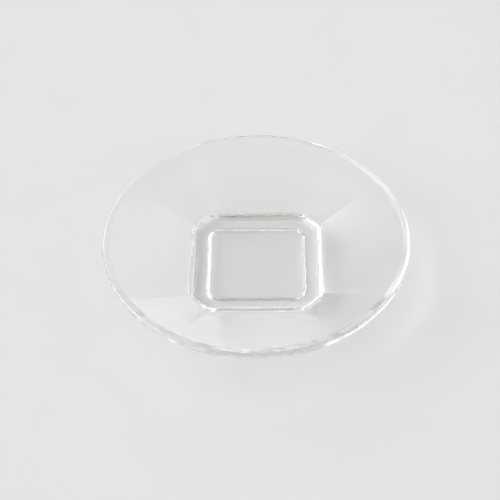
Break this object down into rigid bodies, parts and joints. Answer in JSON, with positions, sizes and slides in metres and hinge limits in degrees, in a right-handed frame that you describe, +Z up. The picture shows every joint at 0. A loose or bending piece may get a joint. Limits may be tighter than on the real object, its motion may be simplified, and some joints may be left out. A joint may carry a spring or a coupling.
{
  "type": "shallow glass dish",
  "caption": "Shallow clear pressed-glass dish with a round rim, a faceted flared wall and a square foot with cut corners, for holding or covering small things.",
  "frame": {"origin": "centre of the foot's underside, on the surface that the dish stands on", "axes": "+Z up out of the dish's mouth, X and Y square to the flats of the foot"},
  "size_m": [0.1, 0.1, 0.0154],
  "materials": {
    "clear_glass": "clear and colourless, fire-polished"
  },
  "bodies": {
    "root": {"dish": "clear_glass"}
  },
  "joints": []
}
